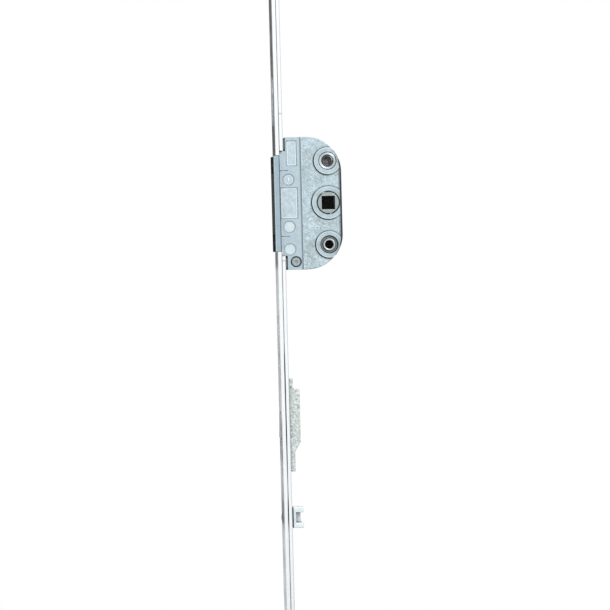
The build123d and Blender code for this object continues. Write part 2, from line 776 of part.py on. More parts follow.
with BuildPart() as lock_lever_pin:
    with BuildSketch(Plane.XZ):
        with Locations((pin_x, pin_height)):
            Circle(lever_pin)
    extrude(amount=housing_width / 2, both=True)
lock_lever_pin.part.label = "lock_lever_pin"
export_step(lock_lever_pin.part, "parts/lock_lever_pin.step")

# Leaf spring behind the lever: it bears on the pocket's floor at both ends and bows towards the lever
with BuildPart() as lock_spring:
    leaf_x = rail_back + housing_depth - housing_wall
    leaf_middle = (pocket_top + pocket_bottom) / 2
    with BuildSketch(Plane.XZ):
        with BuildLine():
            for depth in (0, leaf_thickness):
                ThreePointArc((leaf_x - depth, leaf_middle + leaf_length / 2),
                              (leaf_x - depth - leaf_bow, leaf_middle),
                              (leaf_x - depth, leaf_middle - leaf_length / 2))
            for end in (1, -1):
                Line((leaf_x, leaf_middle + end * leaf_length / 2),
                     (leaf_x - leaf_thickness, leaf_middle + end * leaf_length / 2))
        make_face()
    extrude(amount=leaf_width / 2, both=True)
lock_spring.part.label = "lock_spring"
export_step(lock_spring.part, "parts/lock_spring.step")

# Guide block behind the lower rail, carried by the rod through the rail's slot
with BuildPart() as guide_block:
    block_front = rail_back + block_gap
    block_rear = block_front + block_depth
    with BuildSketch(Plane.XZ):
        with Locations(((block_front + block_rear) / 2, -block_height)):
            Rectangle(block_depth, block_length)
        with Locations((block_front + block_base + block_depth / 2, -block_height)):
            Rectangle(block_depth, block_length - 2 * block_arm, mode=Mode.SUBTRACT)
    extrude(amount=block_width / 2, both=True)
    fillet(guide_block.faces().filter_by(Axis.Y).edges(), radius=block_round)
    with BuildSketch(Plane.XZ):
        with Locations((block_front + block_base + block_web_depth / 2, -block_height)):
            Rectangle(block_web_depth, block_length - 2 * block_arm)
    extrude(amount=block_web / 2, both=True)
    with BuildSketch(Plane.YZ.offset(rod_back)):
        with Locations((0, -block_height)):
            Rectangle(neck_width, neck_length)
    extrude(amount=block_front - rod_back)
    with BuildSketch(Plane.YZ.offset(rod_back)):
        with Locations((0, -block_height)):
            Circle(block_rivet_shank + fit_gap)
    extrude(amount=block_front - rod_back + block_rivet_depth, mode=Mode.SUBTRACT)
guide_block.part.label = "guide_block"
export_step(guide_block.part, "parts/guide_block.step")

# Its rivet has a low domed head on the front of the rod
with BuildPart() as guide_block_rivet:
    with BuildSketch(Plane.YZ.offset(rod_front)):
        with Locations((0, -block_height)):
            Circle(block_rivet_shank)
    extrude(amount=block_front + block_rivet_depth - rod_front)
    with BuildSketch(Plane.XY.offset(-block_height)) as dome:
        with BuildLine():
            crown = (rod_front - block_rivet_head_height, 0)
            chord = block_rivet_head ** 2 / (2 * block_rivet_head_height) + block_rivet_head_height / 2
            RadiusArc((rod_front, block_rivet_head), crown, -chord)
            Line(crown, (rod_front, 0))
            Line((rod_front, 0), (rod_front, block_rivet_head))
        make_face()
    revolve(axis=Axis((0, 0, -block_height), (1, 0, 0)))
guide_block_rivet.part.label = "guide_block_rivet"
export_step(guide_block_rivet.part, "parts/guide_block_rivet.step")

# Roller cams: a stud riveted into the rod and a roller that turns on it
roller_back = rod_front - cam_collar_height - roller_gap
roller_front = roller_back - roller_length
head_back = roller_front - roller_gap


def cam_stud(height):
    with BuildPart() as stud:
        with BuildSketch(Plane.YZ.offset(head_back - cam_head_height)):
            with Locations((0, height)):
                Circle(cam_head)
        extrude(amount=cam_head_height)
        chamfer(stud.edges().filter_by(GeomType.CIRCLE).group_by(Axis.X)[0], length=bar_chamfer)
        with BuildSketch(Plane.YZ.offset(head_back)):
            with Locations((0, height)):
                Circle(cam_pin)
        extrude(amount=rod_back - head_back)
        with BuildSketch(Plane.YZ.offset(rod_front - cam_collar_height)):
            with Locations((0, height)):
                Circle(cam_foot)
        extrude(amount=cam_collar_height)
        with BuildSketch(Plane.YZ.offset(rod_back)):
            with Locations((0, height)):
                Circle(cam_foot)
        with BuildSketch(Plane.YZ.offset(rod_back - cam_foot_height)):
            with Locations((0, height)):
                Circle(cam_pin)
        loft()
        with BuildSketch(Plane.YZ.offset(head_back - cam_head_height)):
            with Locations((0, height)):
                RegularPolygon(cam_socket, 6, major_radius=False)
        extrude(amount=cam_socket_depth, mode=Mode.SUBTRACT)
    return stud


def cam_roller(height):
    with BuildPart() as roller:
        with BuildSketch(Plane.YZ.offset(roller_front)):
            with Locations((0, height)):
                Circle(roller_radius)
        extrude(amount=roller_length)
        chamfer(roller.edges().filter_by(GeomType.CIRCLE), length=roller_chamfer)
        with BuildSketch(Plane.YZ.offset(roller_front)):
            with Locations((0, height)):
                Circle(cam_pin + roller_gap)
        extrude(amount=roller_length, mode=Mode.SUBTRACT)
    return roller


upper_cam_stud = cam_stud(upper_cam_height)
upper_cam_stud.part.label = "upper_cam_stud"
export_step(upper_cam_stud.part, "parts/upper_cam_stud.step")

upper_cam_roller = cam_roller(upper_cam_height)
upper_cam_roller.part.label = "upper_cam_roller"
export_step(upper_cam_roller.part, "parts/upper_cam_roller.step")

lower_cam_stud = cam_stud(lower_cam_height)
lower_cam_stud.part.label = "lower_cam_stud"
export_step(lower_cam_stud.part, "parts/lower_cam_stud.step")

lower_cam_roller = cam_roller(lower_cam_height)
lower_cam_roller.part.label = "lower_cam_roller"
export_step(lower_cam_roller.part, "parts/lower_cam_roller.step")

print("stroke", round(stroke, 3), "mm, pitch radius", round(pitch_radius, 3), "mm")
print("slide to follower ratio", round(1000 / pitch_radius, 4), "rad per metre")
print("lever pin at", round(pin_x, 3), round(pin_height, 3), "press", round(degrees(lever_press), 2), "deg")
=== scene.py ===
import math

import bmesh
import bpy
from mathutils import Matrix, Vector


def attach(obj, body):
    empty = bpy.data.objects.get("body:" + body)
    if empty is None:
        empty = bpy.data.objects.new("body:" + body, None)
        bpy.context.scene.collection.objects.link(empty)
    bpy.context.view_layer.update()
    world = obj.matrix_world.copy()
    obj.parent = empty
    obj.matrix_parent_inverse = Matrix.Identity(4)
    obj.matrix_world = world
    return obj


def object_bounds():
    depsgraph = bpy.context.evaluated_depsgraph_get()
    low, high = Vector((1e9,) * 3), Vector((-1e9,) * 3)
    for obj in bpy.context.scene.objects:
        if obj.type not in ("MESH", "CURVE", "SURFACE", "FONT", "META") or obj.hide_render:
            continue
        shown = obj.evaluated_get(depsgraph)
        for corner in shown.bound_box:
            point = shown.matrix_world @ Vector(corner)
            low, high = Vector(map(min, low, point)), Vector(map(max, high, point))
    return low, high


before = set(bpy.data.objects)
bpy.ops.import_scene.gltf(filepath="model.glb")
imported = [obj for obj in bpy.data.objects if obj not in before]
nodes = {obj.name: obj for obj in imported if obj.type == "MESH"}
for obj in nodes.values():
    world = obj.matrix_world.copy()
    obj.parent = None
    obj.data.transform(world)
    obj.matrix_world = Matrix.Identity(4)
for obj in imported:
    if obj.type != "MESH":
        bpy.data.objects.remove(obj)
cadLow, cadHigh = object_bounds()
mm = 0.001
print("cremone bolt: frame loaded,", len(nodes), "nodes")

# long lens, a little from the bars' front side, picture turned as in the photograph
viewSet = {
    "azimuth": -5.5,  # degrees towards the bars' front
    "roll": 1.47,  # degrees, bars lean this much
    "pixelsPerMetre": 1947.0,
    "picture": 610.0,
    "spindleAt": (328.4, 202.5),
    "spindleFace": -6.4 * mm,
    "distance": 1.6,
    "sensor": 36.0,  # mm wide, as the lens is in mm
    "clip": (0.05, 20.0),
}


def hang(name, data):  # a new object in the scene
    thing = bpy.data.objects.new(name, data)
    bpy.context.scene.collection.objects.link(thing)
    return thing


def placeCamera(look):
    turn, roll = math.radians(look["azimuth"]), math.radians(look["roll"])
    ahead = Vector((-math.sin(turn), math.cos(turn), 0))
    up = Vector((0, 0, 1))
    levelRight = ahead.cross(up)
    right = levelRight * math.cos(roll) - up * math.sin(roll)
    above = levelRight * math.sin(roll) + up * math.cos(roll)
    middle = look["picture"] / 2
    aside = (middle - look["spindleAt"][0]) / look["pixelsPerMetre"]
    upward = (look["spindleAt"][1] - middle) / look["pixelsPerMetre"]
    target = Vector((0, look["spindleFace"], 0)) + right * aside + above * upward
    data = bpy.data.cameras.new("photoCamera")
    data.sensor_width = look["sensor"]
    data.lens = look["sensor"] * look["distance"] * look["pixelsPerMetre"] / look["picture"]
    data.clip_start, data.clip_end = look["clip"]
    camera = hang("photoCamera", data)
    place = target - ahead * look["distance"]
    camera.matrix_world = Matrix((
        (right.x, above.x, -ahead.x, place.x), (right.y, above.y, -ahead.y, place.y),
        (right.z, above.z, -ahead.z, place.z), (0, 0, 0, 1)))
    bpy.context.scene.camera = camera


placeCamera(viewSet)


# a wire is one socket that can be added, multiplied and so on
class Wire:
    def __init__(self, sheet, socket):
        self.sheet, self.socket = sheet, socket

    def apply(self, operation, first, second):
        return self.sheet.add("ShaderNodeMath", {"operation": operation}, {0: first, 1: second})

    def __add__(self, other):
        return self.apply("ADD", self, other)

    def __radd__(self, other):
        return self.apply("ADD", other, self)

    def __sub__(self, other):
        return self.apply("SUBTRACT", self, other)

    def __rsub__(self, other):
        return self.apply("SUBTRACT", other, self)

    def __mul__(self, other):
        return self.apply("MULTIPLY", self, other)

    def __rmul__(self, other):
        return self.apply("MULTIPLY", other, self)

    def __truediv__(self, other):
        return self.apply("DIVIDE", self, other)

    def __rtruediv__(self, other):
        return self.apply("DIVIDE", other, self)

    def __pow__(self, other):
        return self.apply("POWER", self, other)

    def __rpow__(self, other):
        return self.apply("POWER", other, self)

    def size(self):
        return self.apply("ABSOLUTE", self, 0.0)

    def most(self, other):
        return self.apply("MAXIMUM", self, other)

    def between(self, low, high, start=0.0, end=1.0):  # soft step from start to end
        return self.sheet.add("ShaderNodeMapRange", {"interpolation_type": "SMOOTHSTEP"}, {
            0: self, 1: low, 2: high, 3: start, 4: end})

    def band(self, rise, fall):  # soft stripe: up over rise, down over fall
        return self.between(*rise) * (1 - self.between(*fall))


class Sheet:
    def __init__(self, tree):
        self.tree = tree
        tree.nodes.clear()

    def add(self, kind, settings=None, values=None, out=0):
        node = self.tree.nodes.new(kind)
        for name, value in (settings or {}).items():
            setattr(node, name, value)
        for name, value in (values or {}).items():
            if isinstance(value, Wire):
                self.tree.links.new(value.socket, node.inputs[name])
            elif isinstance(value, (tuple, list)) and node.inputs[name].type == "RGBA":
                node.inputs[name].default_value = (*value[:3], 1)
            else:
                node.inputs[name].default_value = value
        return Wire(self, node.outputs[out]) if node.outputs else None

    def noise(self, where, scale, detail, rough):
        return self.add("ShaderNodeTexNoise", {}, {
            "Vector": where, "Scale": scale, "Detail": detail, "Roughness": rough})

    def reach(self, across, along):  # distance from a middle
        return (across * across + along * along) ** 0.5

    def tint(self, first, second, share):
        return self.add("ShaderNodeMix", {"data_type": "RGBA"}, {0: share, 6: first, 7: second}, out=2)

    def layer(self, under, paint, mask):  # paint is a colour and the share that it covers
        return self.tint(under, paint[0], mask * paint[1])


metalSet = {  # what all the metals share: detail and roughness of the noises, and soft steps
    "cloudNoise": (4.0, 0.6), "cloudSpan": (0.32, 0.68),
    "grainNoise": (3.0, 0.6), "grainSpan": (0.54, 0.72),
    "streakNoise": (1.0, 4.0, 0.65), "streakSpan": (0.42, 0.75),  # scale 1, its mapping stretches it
    "creaseSpan": (0.25, 0.97), "outerSpan": (0.35, 0.9), "wearAndHighlightSpan": (0.3, 0.6, 0.45, 1.0),
    "creaseShadeGloss": 0.25, "aoSamples": 8, "bevelSamples": 4,
}


def blankFinish(name):
    material = bpy.data.materials.new(name)
    material.use_nodes = True
    return material, Sheet(material.node_tree)


def metalFinish(name, look, fields=None):
    # look gives colours, grain, edge wear that is partly painted highlight, and painted shade in creases;
    # fields may change colour, gloss and height by place
    material, sheet = blankFinish(name)
    place = sheet.add("ShaderNodeTexCoord", {}, {}, out=3)
    axes = [sheet.add("ShaderNodeSeparateXYZ", {}, {0: place}, out=n) / mm for n in range(3)]
    clouds = sheet.noise(place, look["cloudScale"], *metalSet["cloudNoise"]).between(*metalSet["cloudSpan"])
    grain = sheet.noise(place, look["grainScale"], *metalSet["grainNoise"])
    stretched = sheet.add("ShaderNodeMapping", {}, {"Vector": place, "Scale": look["streakScale"]})
    streaks = sheet.noise(stretched, *metalSet["streakNoise"])
    colour = sheet.tint(look["light"], look["shade"], clouds * look["clouds"])
    colour = sheet.tint(colour, look["shade"], streaks.between(*metalSet["streakSpan"]) * look["streaks"])
    colour = sheet.tint(colour, look["speck"], grain.between(*metalSet["grainSpan"]) * look["specks"])
    gloss = look["rough"] + (grain - 0.5) * look["roughSwing"] + (streaks - 0.5) * look["roughSwing"]
    height = grain * look["grainDepth"] + streaks * look["streakDepth"] + clouds * look["cloudDepth"]
    # outer edges are painted lighter, partly as rubbed wear and partly as painted highlight; creases get
    # painted shade and a little more roughness
    samples = {"samples": metalSet["aoSamples"]}
    crease = sheet.add("ShaderNodeAmbientOcclusion", samples, {"Distance": look["creaseReach"]}, out=1)
    creaseShade = (1 - crease.between(*metalSet["creaseSpan"])) * look["creaseShade"]
    outer = sheet.add("ShaderNodeAmbientOcclusion", {**samples, "inside": True},
                      {"Distance": look["edgeReach"]}, out=1)
    wearAndHighlight = (1 - outer.between(*metalSet["outerSpan"])) * look["wearAndHighlight"] * grain.between(*metalSet["wearAndHighlightSpan"])
    colour = sheet.tint(colour, look["bright"], wearAndHighlight)
    if fields:
        colour, gloss, height = fields(sheet, axes, place, colour, gloss, height)
    # painted shade darkens the creases
    colour = sheet.tint(colour, look["creaseShadeColour"], creaseShade)
    samples = {"samples": metalSet["bevelSamples"]}
    rounded = sheet.add("ShaderNodeBevel", samples, {"Radius": look["edgeRound"]})
    bump = sheet.add("ShaderNodeBump", {}, {
        "Strength": 1.0, "Distance": 1.0, "Height": height, "Normal": rounded})
    shader = sheet.add("ShaderNodeBsdfPrincipled", {}, {
        "Base Color": colour, "Metallic": look["metal"], "Roughness": gloss + creaseShade * metalSet["creaseShadeGloss"],
        "Normal": bump})
    sheet.add("ShaderNodeOutputMaterial", {}, {0: shader})
    return material


# in each look, the dark crease colour and its share are painted shade; the bright edge colour is partly wear
# and partly painted highlight
zincLook = {
    "light": (0.46, 0.565, 0.62), "shade": (0.34, 0.43, 0.475), "speck": (0.25, 0.30, 0.315),
    "bright": (0.74, 0.81, 0.84), "creaseShadeColour": (0.030, 0.037, 0.040),
    "cloudScale": 330.0, "grainScale": 1900.0, "streakScale": (500, 500, 500),
    "clouds": 0.55, "specks": 0.45, "streaks": 0.25, "rough": 0.46, "roughSwing": 0.22, "metal": 0.72,
    "grainDepth": 0.00006, "streakDepth": 0.00003, "cloudDepth": 0.00004,
    "creaseReach": 1.5 * mm, "creaseShade": 0.95, "edgeReach": 0.4 * mm, "wearAndHighlight": 0.6, "edgeRound": 0.18 * mm,
}
coverLook = {**zincLook, "clouds": 0.35, "specks": 0.2}
housingLook = {
    **zincLook, "light": (0.72, 0.755, 0.735), "shade": (0.46, 0.515, 0.49), "speck": (0.17, 0.20, 0.18),
    "cloudScale": 640.0, "grainScale": 780.0, "clouds": 0.8, "specks": 0.85, "rough": 0.58,
    "streakScale": (1500, 1500, 520), "streaks": 0.8, "grainDepth": 0.00034, "cloudDepth": 0.00016,
}
blockLook = {
    **zincLook, "light": (0.80, 0.86, 0.87), "shade": (0.60, 0.67, 0.68), "speck": (0.42, 0.46, 0.46),
    "specks": 0.5, "grainDepth": 0.00012,
}
sliderLook = {
    **zincLook, "light": (0.37, 0.49, 0.56), "shade": (0.29, 0.39, 0.45),
    "clouds": 0.4, "specks": 0.15, "rough": 0.36, "grainDepth": 0.00002,
}
followerLook = {
    **zincLook, "light": (0.38, 0.435, 0.435), "shade": (0.28, 0.32, 0.32), "rough": 0.42, "specks": 0.35,
}
barLook = {
    "light": (0.94, 0.955, 0.965), "shade": (0.76, 0.81, 0.85), "speck": (0.62, 0.67, 0.71),
    "bright": (0.95, 0.96, 0.97), "creaseShadeColour": (0.10, 0.12, 0.14),
    "cloudScale": 150.0, "grainScale": 2600.0, "streakScale": (1800, 1800, 50),
    "clouds": 0.2, "specks": 0.15, "streaks": 0.45, "rough": 0.30, "roughSwing": 0.18, "metal": 0.92,
    "grainDepth": 0.00001, "streakDepth": 0.00003, "cloudDepth": 0.0,
    "creaseReach": 1.1 * mm, "creaseShade": 0.8, "edgeReach": 0.25 * mm, "wearAndHighlight": 0.5, "edgeRound": 0.12 * mm,
}
rivetLook = {
    **barLook, "light": (0.66, 0.71, 0.74), "shade": (0.48, 0.53, 0.56), "streakScale": (700, 700, 700),
    "rough": 0.34, "creaseShade": 0.85, "creaseReach": 0.8 * mm,
}
bushLook = {
    **rivetLook, "light": (0.50, 0.545, 0.555), "shade": (0.33, 0.37, 0.38),
    "clouds": 0.5, "rough": 0.38, "wearAndHighlight": 0.2,
}
leverLook = {**barLook, "light": (0.62, 0.66, 0.68), "shade": (0.45, 0.48, 0.50)}
caseRivetLook = {
    **zincLook, "light": (0.40, 0.46, 0.47), "shade": (0.25, 0.29, 0.30), "creaseReach": 1.3 * mm,
}
markLook = {**zincLook, "light": (0.80, 0.88, 0.89), "shade": (0.62, 0.71, 0.73), "creaseShade": 0.3}
springLook = {**barLook, "light": (0.30, 0.31, 0.34), "shade": (0.20, 0.20, 0.22), "rough": 0.34}

# in the sets below, places are in mm from the spindle axis, a pair is where a soft step starts and
# ends, two more numbers are its first and last value, two pairs make a soft stripe, a noise is its
# scale, detail and roughness, and a paint is a colour and its share
postHeight = 21.5
dialAt = (-20.2, 12.2)
coverSet = {
    "panels": ((-18.4, 25.7, 5.0, 12.5), (-20.1, 0.2, 8.4, 15.5)),  # middle, width and height
    "discs": ((-20.2, -12.0), (-20.2, -23.6)), "discRadius": 2.85,
    "pads": ((0.0, 8.4), (postHeight, 6.95), (-postHeight, 6.85)),  # height and radius
    "fieldStart": (-13.75, -13.45), "padTop": (-6.35, -6.2), "padCalm": 0.7,
    "front": (-24.2, -23.9), "frontPaintedLight": ((0.80, 0.88, 0.90), 0.6),
    "cloudNoise": (150.0, 3.0, 0.6), "cloudSpan": (0.40, 0.66), "cloudPaint": ((0.31, 0.38, 0.385), 0.65),
    "blotchNoise": (520.0, 5.0, 0.7), "blotchSpan": (0.48, 0.70), "blotchPaint": ((0.64, 0.72, 0.725), 0.75),
    "pitNoise": (1250.0, 3.0, 0.7), "pitSpan": (0.53, 0.68), "pitPaint": ((0.17, 0.215, 0.195), 0.7),
    "pitDepth": 0.00022, "blotchDepth": 0.00016, "coarseGloss": 0.08,
}
panelSet = {  # distances in mm outwards from a panel's edge
    "floor": (-0.05, 0.02), "floorSpan": (0.35, 0.7), "floorPaint": ((0.58, 0.67, 0.70), 0.8),
    "frame": (-0.75, -0.4), "frameHighlightPaint": ((0.74, 0.82, 0.84), 0.8),
    "groove": ((0.0, 0.1), (0.25, 0.5)), "grooveShadePaint": ((0.19, 0.26, 0.31), 0.75),
}
discSet = {  # distances in mm outwards from a disc's edge
    "floor": (-0.1, 0.0), "floorSpan": (0.2, 0.6, 0.5, 1.0),
    "floorPaint": ((0.74, 0.83, 0.83), 0.55), "dialPaint": ((0.74, 0.83, 0.83), 0.2),
    "groove": ((-0.02, 0.1), (0.25, 0.5)), "grooveShadePaint": ((0.20, 0.27, 0.31), 0.7),
}
stepSet = {  # how far across the step's line and shade lie
    "line": ((-13.66, -13.6), (-13.4, -13.25)), "lineHighlightPaint": ((0.80, 0.88, 0.89), 0.8),
    "shade": ((-14.5, -14.1), (-13.72, -13.66)), "shadePaint": ((0.17, 0.235, 0.28), 0.75),
}
ringSet = {  # distances in mm outwards from a raised ring's edge
    "ringShadow": ((-0.1, 0.05), (0.35, 0.95)), "ringShadowColour": (0.045, 0.055, 0.06),
    "lowerLeft": (-0.8, -0.6), "sideSpan": (0.0, 0.75), "ringShadowRound": 0.4, "ringShadowSide": 0.6,
    "lit": ((-0.7, -0.3), (0.0, 0.05)), "litPaint": ((0.62, 0.72, 0.75), 0.5),
}
rearSet = {  # the corners curve round a middle; the edge is a distance from it, the ends are heights
    "across": -10.8, "along": 16.0, "edge": (16.05, 16.35), "ends": (22, 29),
    "paint": ((0.10, 0.12, 0.12), 0.6), "padCalm": 0.6,
}
boreSet = {  # distances in mm from the middle of a hole
    "hub": ((5.5, 5.8), (6.0, 6.35)), "hubPaint": ((0.05, 0.06, 0.062), 0.8),
    "well": (4.6, 4.8), "wellPaint": ((0.24, 0.27, 0.285), 0.6),
    "wellRim": (4.1, 4.3), "rimPaint": ((0.03, 0.036, 0.038), 0.9),
    "wellFoot": (3.45, 3.7), "footPaint": ((0.04, 0.046, 0.048), 0.8),
}


def paintPanels(sheet, x, z, gearField, blotches, colour):
    # panels have a painted highlight frame just inside their edge, a stippled floor, and painted shade in
    # the groove round them
    for across, along, wide, high in coverSet["panels"]:
        inside = ((x - across).size() - wide / 2).most((z - along).size() - high / 2)
        floor = 1 - inside.between(*panelSet["floor"])
        stippled = floor * blotches.between(*panelSet["floorSpan"])
        colour = sheet.layer(colour, panelSet["floorPaint"], stippled)
        colour = sheet.layer(colour, panelSet["frameHighlightPaint"], inside.between(*panelSet["frame"]) * floor)
        groove = inside.band(*panelSet["groove"])
        colour = sheet.layer(colour, panelSet["grooveShadePaint"], groove * (1 - gearField))
    return colour


def paintDiscs(sheet, x, z, gearField, blotches, colour):
    # discs are pale, the dial less so, with painted shade in the groove round each
    for across, along in (*coverSet["discs"], dialAt):
        away = sheet.reach(x - across, z - along) - coverSet["discRadius"]
        floor = 1 - away.between(*discSet["floor"])
        paint = discSet["dialPaint" if (across, along) == dialAt else "floorPaint"]
        colour = sheet.layer(colour, paint, floor * blotches.between(*discSet["floorSpan"]))
        groove = away.band(*discSet["groove"])
        colour = sheet.layer(colour, discSet["grooveShadePaint"], groove * (1 - gearField))
    return colour


def paintRings(sheet, x, z, padTops, colour):
    # painted shadow lies round each raised ring, most of it at the lower left; a painted highlight lies just
    # inside each ring's top edge
    left, low = ringSet["lowerLeft"]
    for along, radius in coverSet["pads"]:
        reach = sheet.reach(x, z - along)
        away = reach - radius
        side = ((x * left + (z - along) * low) / reach).between(*ringSet["sideSpan"])
        share = ringSet["ringShadowRound"] + side * ringSet["ringShadowSide"]
        ringShadow = away.band(*ringSet["ringShadow"]) * share * (1 - padTops)
        colour = sheet.tint(colour, ringSet["ringShadowColour"], ringShadow)
        colour = sheet.layer(colour, ringSet["litPaint"], away.band(*ringSet["lit"]) * padTops)
    return colour


def paintBores(sheet, x, z, colour):
    # painted shade makes a dark ring round the hub, and greys the shallow well round the lower bush, darkest
    # at its outer rim and at its foot
    colour = sheet.layer(colour, boreSet["hubPaint"], sheet.reach(x, z).band(*boreSet["hub"]))
    low = sheet.reach(x, z + postHeight)
    well = 1 - low.between(*boreSet["well"])
    colour = sheet.layer(colour, boreSet["wellPaint"], well)
    colour = sheet.layer(colour, boreSet["rimPaint"], well * low.between(*boreSet["wellRim"]))
    return sheet.layer(colour, boreSet["footPaint"], well * (1 - low.between(*boreSet["wellFoot"])))


def coverFields(sheet, axes, place, colour, gloss, height):
    # the raised field behind the step is coarse, the cover before it is smooth
    x, y, z = axes
    gearField = x.between(*coverSet["fieldStart"])
    padTops = 1 - y.between(*coverSet["padTop"])
    # a painted highlight along the cover's front edge
    colour = sheet.layer(colour, coverSet["frontPaintedLight"], 1 - x.between(*coverSet["front"]))
    clouds = sheet.noise(place, *coverSet["cloudNoise"])
    blotches = sheet.noise(place, *coverSet["blotchNoise"])
    pits = sheet.noise(place, *coverSet["pitNoise"])
    coarse = gearField * (1 - padTops * coverSet["padCalm"])
    colour = sheet.layer(colour, coverSet["cloudPaint"], clouds.between(*coverSet["cloudSpan"]) * gearField)
    colour = sheet.layer(colour, coverSet["blotchPaint"], coarse * blotches.between(*coverSet["blotchSpan"]))
    colour = sheet.layer(colour, coverSet["pitPaint"], coarse * pits.between(*coverSet["pitSpan"]))
    height = height + coarse * pits * coverSet["pitDepth"] + coarse * blotches * coverSet["blotchDepth"]
    colour = paintPanels(sheet, x, z, gearField, blotches, colour)
    colour = paintDiscs(sheet, x, z, gearField, blotches, colour)
    # a painted highlight runs along the step, behind a band of painted shade
    colour = sheet.layer(colour, stepSet["lineHighlightPaint"], x.band(*stepSet["line"]) * (1 - padTops))
    colour = sheet.layer(colour, stepSet["shadePaint"], x.band(*stepSet["shade"]))
    colour = paintRings(sheet, x, z, padTops, colour)
    # the rear edge is darkened with painted shade along its straight part and into the corners
    corner = sheet.reach((x - rearSet["across"]).most(0.0), (z.size() - rearSet["along"]).most(0.0))
    rear = corner.between(*rearSet["edge"]) * (1 - z.size().between(*rearSet["ends"]))
    colour = sheet.layer(colour, rearSet["paint"], rear * (1 - padTops * rearSet["padCalm"]))
    return paintBores(sheet, x, z, colour), gloss + coarse * coverSet["coarseGloss"], height


rimSet = {
    "behind": (5.75, 5.9), "nearSide": (-2.0, -1.0), "paint": ((0.04, 0.05, 0.05), 0.92), "gloss": 0.22,
}


def bodyFields(sheet, axes, place, colour, gloss, height):
    # the rim behind the cover is dull and dark
    x, y = axes[:2]
    rim = x.between(*rimSet["behind"]) * (1 - y.between(*rimSet["nearSide"]))
    return sheet.layer(colour, rimSet["paint"], rim), gloss + rim * rimSet["gloss"], height


mouthSet = {
    "edge": (3.05, 3.25), "upperOnly": (0.0, 1.0), "inside": (-6.3, -6.1),
    "colour": (0.085, 0.09, 0.093), "unevenShadeNoise": (900.0, 4.0, 0.7), "least": 0.75, "shadeNoise": 0.25,
    "grooves": 26.0, "grooveDepth": 0.000012,  # radians per mm, and metres
}


def bushFields(sheet, axes, place, colour, gloss, height):
    # painted shade darkens the upper bush's mouth, unevenly; rings of tool marks on both
    x, y, z = axes
    away = sheet.reach(x, z.size() - postHeight)
    mouth = (1 - away.between(*mouthSet["edge"])) * z.between(*mouthSet["upperOnly"])
    mouth = mouth * y.between(*mouthSet["inside"])
    shadeNoise = sheet.noise(place, *mouthSet["unevenShadeNoise"])
    share = mouthSet["least"] + shadeNoise * mouthSet["shadeNoise"]
    colour = sheet.tint(colour, mouthSet["colour"], mouth * share)
    turned = away.apply("SINE", away * mouthSet["grooves"], 0.0)
    return colour, gloss, height + turned * mouthSet["grooveDepth"]


def frontFace(sheet, span):  # how far a surface faces the bars' front
    normal = sheet.add("ShaderNodeNewGeometry", {}, {}, out=1)
    return (0 - sheet.add("ShaderNodeSeparateXYZ", {}, {0: normal}, out=0)).between(*span)


barSet = {
    "front": (0.55, 0.95), "unevenShadeNoise": (90.0, 4.0, 0.6), "unevenShadeSpan": (0.3, 0.7),
    "upper": (-20, 0), "lowerShadeBand": ((-135, -129), (-120, -105)), "head": ((-170, -161), (-157, -147)),
    "nearSlider": ((-36, -30), (34, 60)),
    "frontColour": (0.17, 0.19, 0.19), "frontLeast": 0.2, "frontUpper": 0.35, "frontLowerShade": 0.45,
    "frontShadeNoise": 0.35, "frontGloss": 0.14,
    "upperColour": (0.06, 0.065, 0.06), "upperLeast": 0.6, "upperShadeNoise": 0.35,
    "nearPaint": ((0.03, 0.034, 0.032), 0.75),
    "seam": ((-25.3, -25.0), (-24.6, -24.35)), "thick": ((-148, -118), (-84, -70)),
    "seamColour": (0.02, 0.024, 0.03), "seamLeast": 0.33, "seamThick": 0.62, "seamEven": 0.85,
    "seamShadeNoise": 0.15, "seamGloss": 0.2,
    "railEdge": (-23.35, -23.0), "railPaint": ((0.34, 0.38, 0.41), 0.6),
}


def barFields(sheet, axes, place, colour, gloss, height):
    # the front faces are darkened with uneven painted shade and made rougher; the cut side edges are bright
    x, z = axes[0], axes[2]
    front = frontFace(sheet, barSet["front"])
    shadeNoise = sheet.noise(place, *barSet["unevenShadeNoise"]).between(*barSet["unevenShadeSpan"])
    # the painted shade is darker on the upper bar, and in two bands lower down
    upper, atHead = z.between(*barSet["upper"]), z.band(*barSet["head"])
    lowerShadeBand = z.band(*barSet["lowerShadeBand"]).most(atHead)
    share = barSet["frontLeast"] + upper * barSet["frontUpper"] + lowerShadeBand * barSet["frontLowerShade"]
    colour = sheet.tint(colour, barSet["frontColour"], front * (share + shadeNoise * barSet["frontShadeNoise"]))
    upperShare = barSet["upperLeast"] + shadeNoise * barSet["upperShadeNoise"]
    colour = sheet.tint(colour, barSet["upperColour"], front * upper * upperShare)
    # nearly black painted shade on the front near the slider
    near = z.band(*barSet["nearSlider"])
    colour = sheet.layer(colour, barSet["nearPaint"], front * near)
    # painted shade in the seam between rod and rail, darkest beside the lock housing and the guide block
    seam = x.band(*barSet["seam"])
    share = barSet["seamLeast"] + z.band(*barSet["thick"]).most(atHead) * barSet["seamThick"]
    share = share * (barSet["seamEven"] + shadeNoise * barSet["seamShadeNoise"])
    colour = sheet.tint(colour, barSet["seamColour"], seam * share)
    # painted shade shows the rail's rear edge as a thin grey line
    colour = sheet.layer(colour, barSet["railPaint"], x.between(*barSet["railEdge"]))
    return colour, gloss + front * barSet["frontGloss"] + seam * barSet["seamGloss"], height


sliderSet = {
    "front": (0.4, 0.8), "farWall": (-7.6, -7.2), "proud": (-27.0, -26.7),
    "lit": (-27.7, -27.2), "litPaint": ((0.66, 0.74, 0.78), 0.6),
    "rear": (-25.35, -25.1), "rearShadePaint": ((0.05, 0.065, 0.08), 0.8),
    "frontPaintedLight": ((0.010, 0.012, 0.011), 0.97), "frontGloss": 0.35,
}


